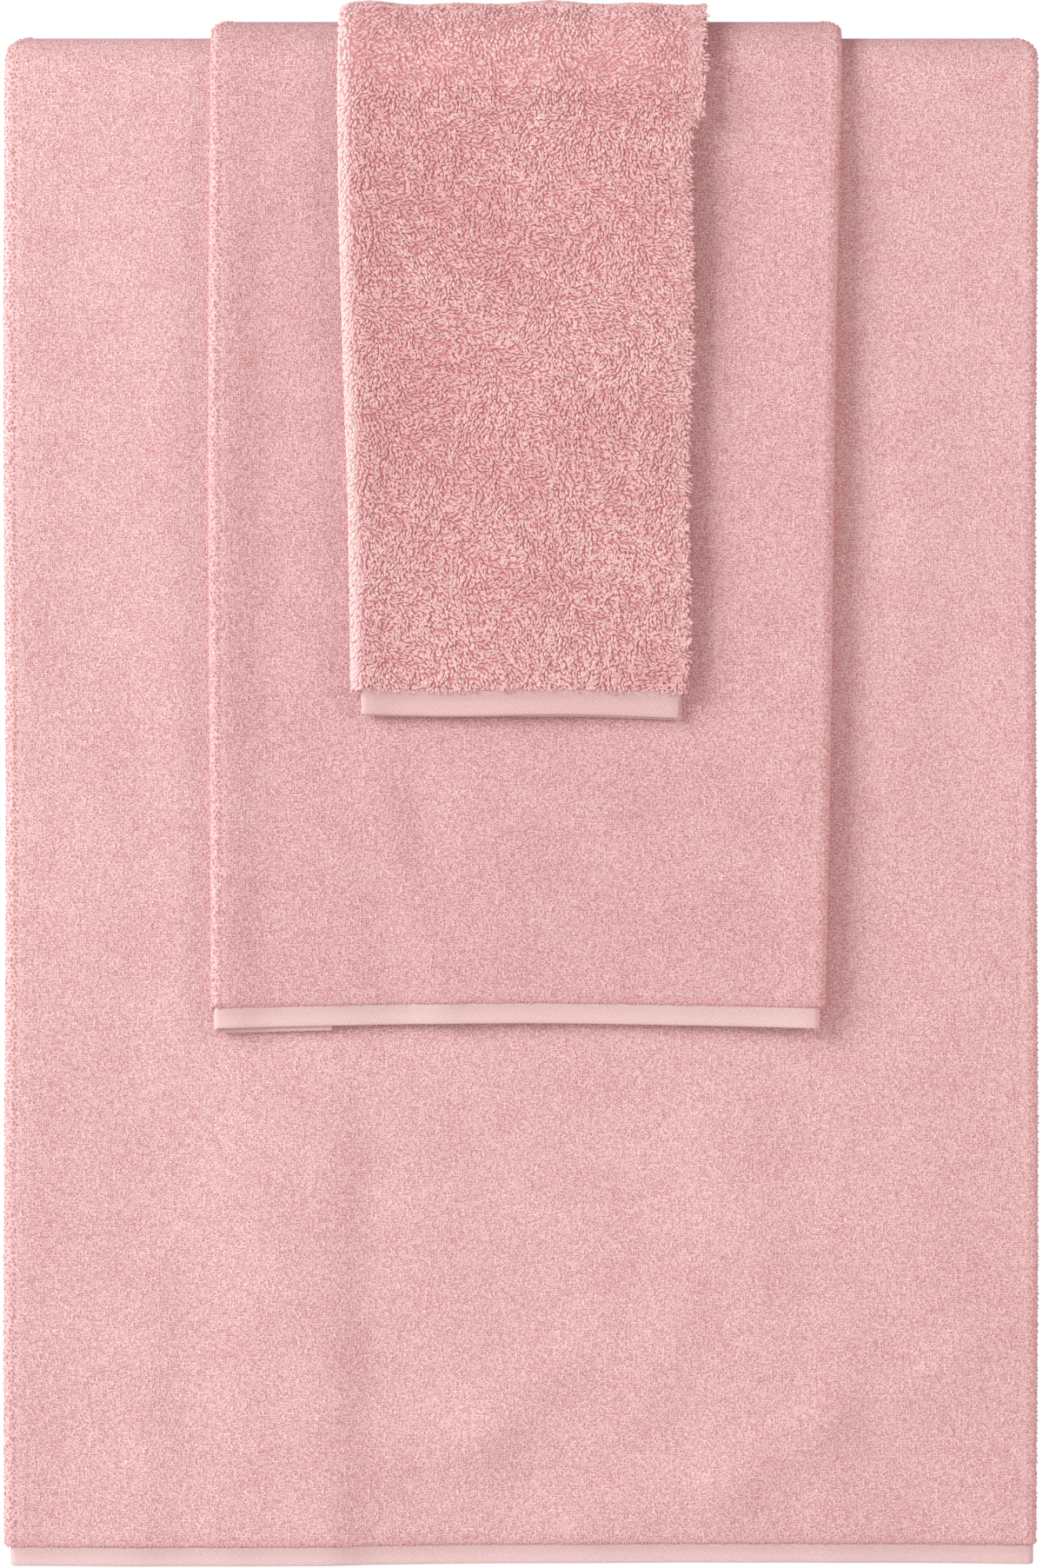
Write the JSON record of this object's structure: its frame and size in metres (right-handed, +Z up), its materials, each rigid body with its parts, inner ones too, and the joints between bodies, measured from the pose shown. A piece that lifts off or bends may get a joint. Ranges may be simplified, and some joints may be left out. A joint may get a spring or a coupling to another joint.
{
  "type": "bath towel set",
  "caption": "Matching terry bath towel, hand towel and guest towel, each folded lengthwise and hung one over another across a rail.",
  "frame": {"origin": "on the axis of the towel rail, at the middle of the bath towel's width", "axes": "+X along the rail, the front drops face -Y, +Z up"},
  "size_m": [0.473, 0.0709, 0.7161],
  "materials": {
    "bath_terry": "looped cotton terry, dusty pink, matt",
    "hand_terry": "looped cotton terry, dusty pink, matt",
    "guest_terry": "long-pile cotton terry, dusty pink, matt",
    "flat_weave": "flat twill-woven cotton hem, paler pink, matt",
    "thread": "cotton sewing thread, dusty rose",
    "label_satin": "blank satin tape, off-white"
  },
  "bodies": {
    "bath_towel": {"bath_terry": "bath_terry", "bath_front_hem": "flat_weave", "bath_back_hem": "flat_weave", "bath_left_side_hem": "flat_weave", "bath_right_side_hem": "flat_weave", "bath_hem_stitching": "thread", "bath_care_label": "label_satin"},
    "hand_towel": {"hand_terry": "hand_terry", "hand_front_hem": "flat_weave", "hand_back_hem": "flat_weave", "hand_left_side_hem": "flat_weave", "hand_right_side_hem": "flat_weave", "hand_hem_stitching": "thread", "hand_care_label": "label_satin"},
    "guest_towel": {"guest_terry": "guest_terry", "guest_front_hem": "flat_weave", "guest_back_hem": "flat_weave", "guest_face_side_hem": "flat_weave", "guest_flap_side_hem": "flat_weave", "guest_hem_stitching": "thread", "guest_care_label": "label_satin"}
  },
  "joints": [
    {"name": "hand_towel_lift", "type": "slide", "parent": "bath_towel", "child": "hand_towel", "axis": [0, 0, 1], "range_m": [0, 0.5]},
    {"name": "guest_towel_lift", "type": "slide", "parent": "hand_towel", "child": "guest_towel", "axis": [0, 0, 1], "range_m": [0, 0.35]}
  ]
}
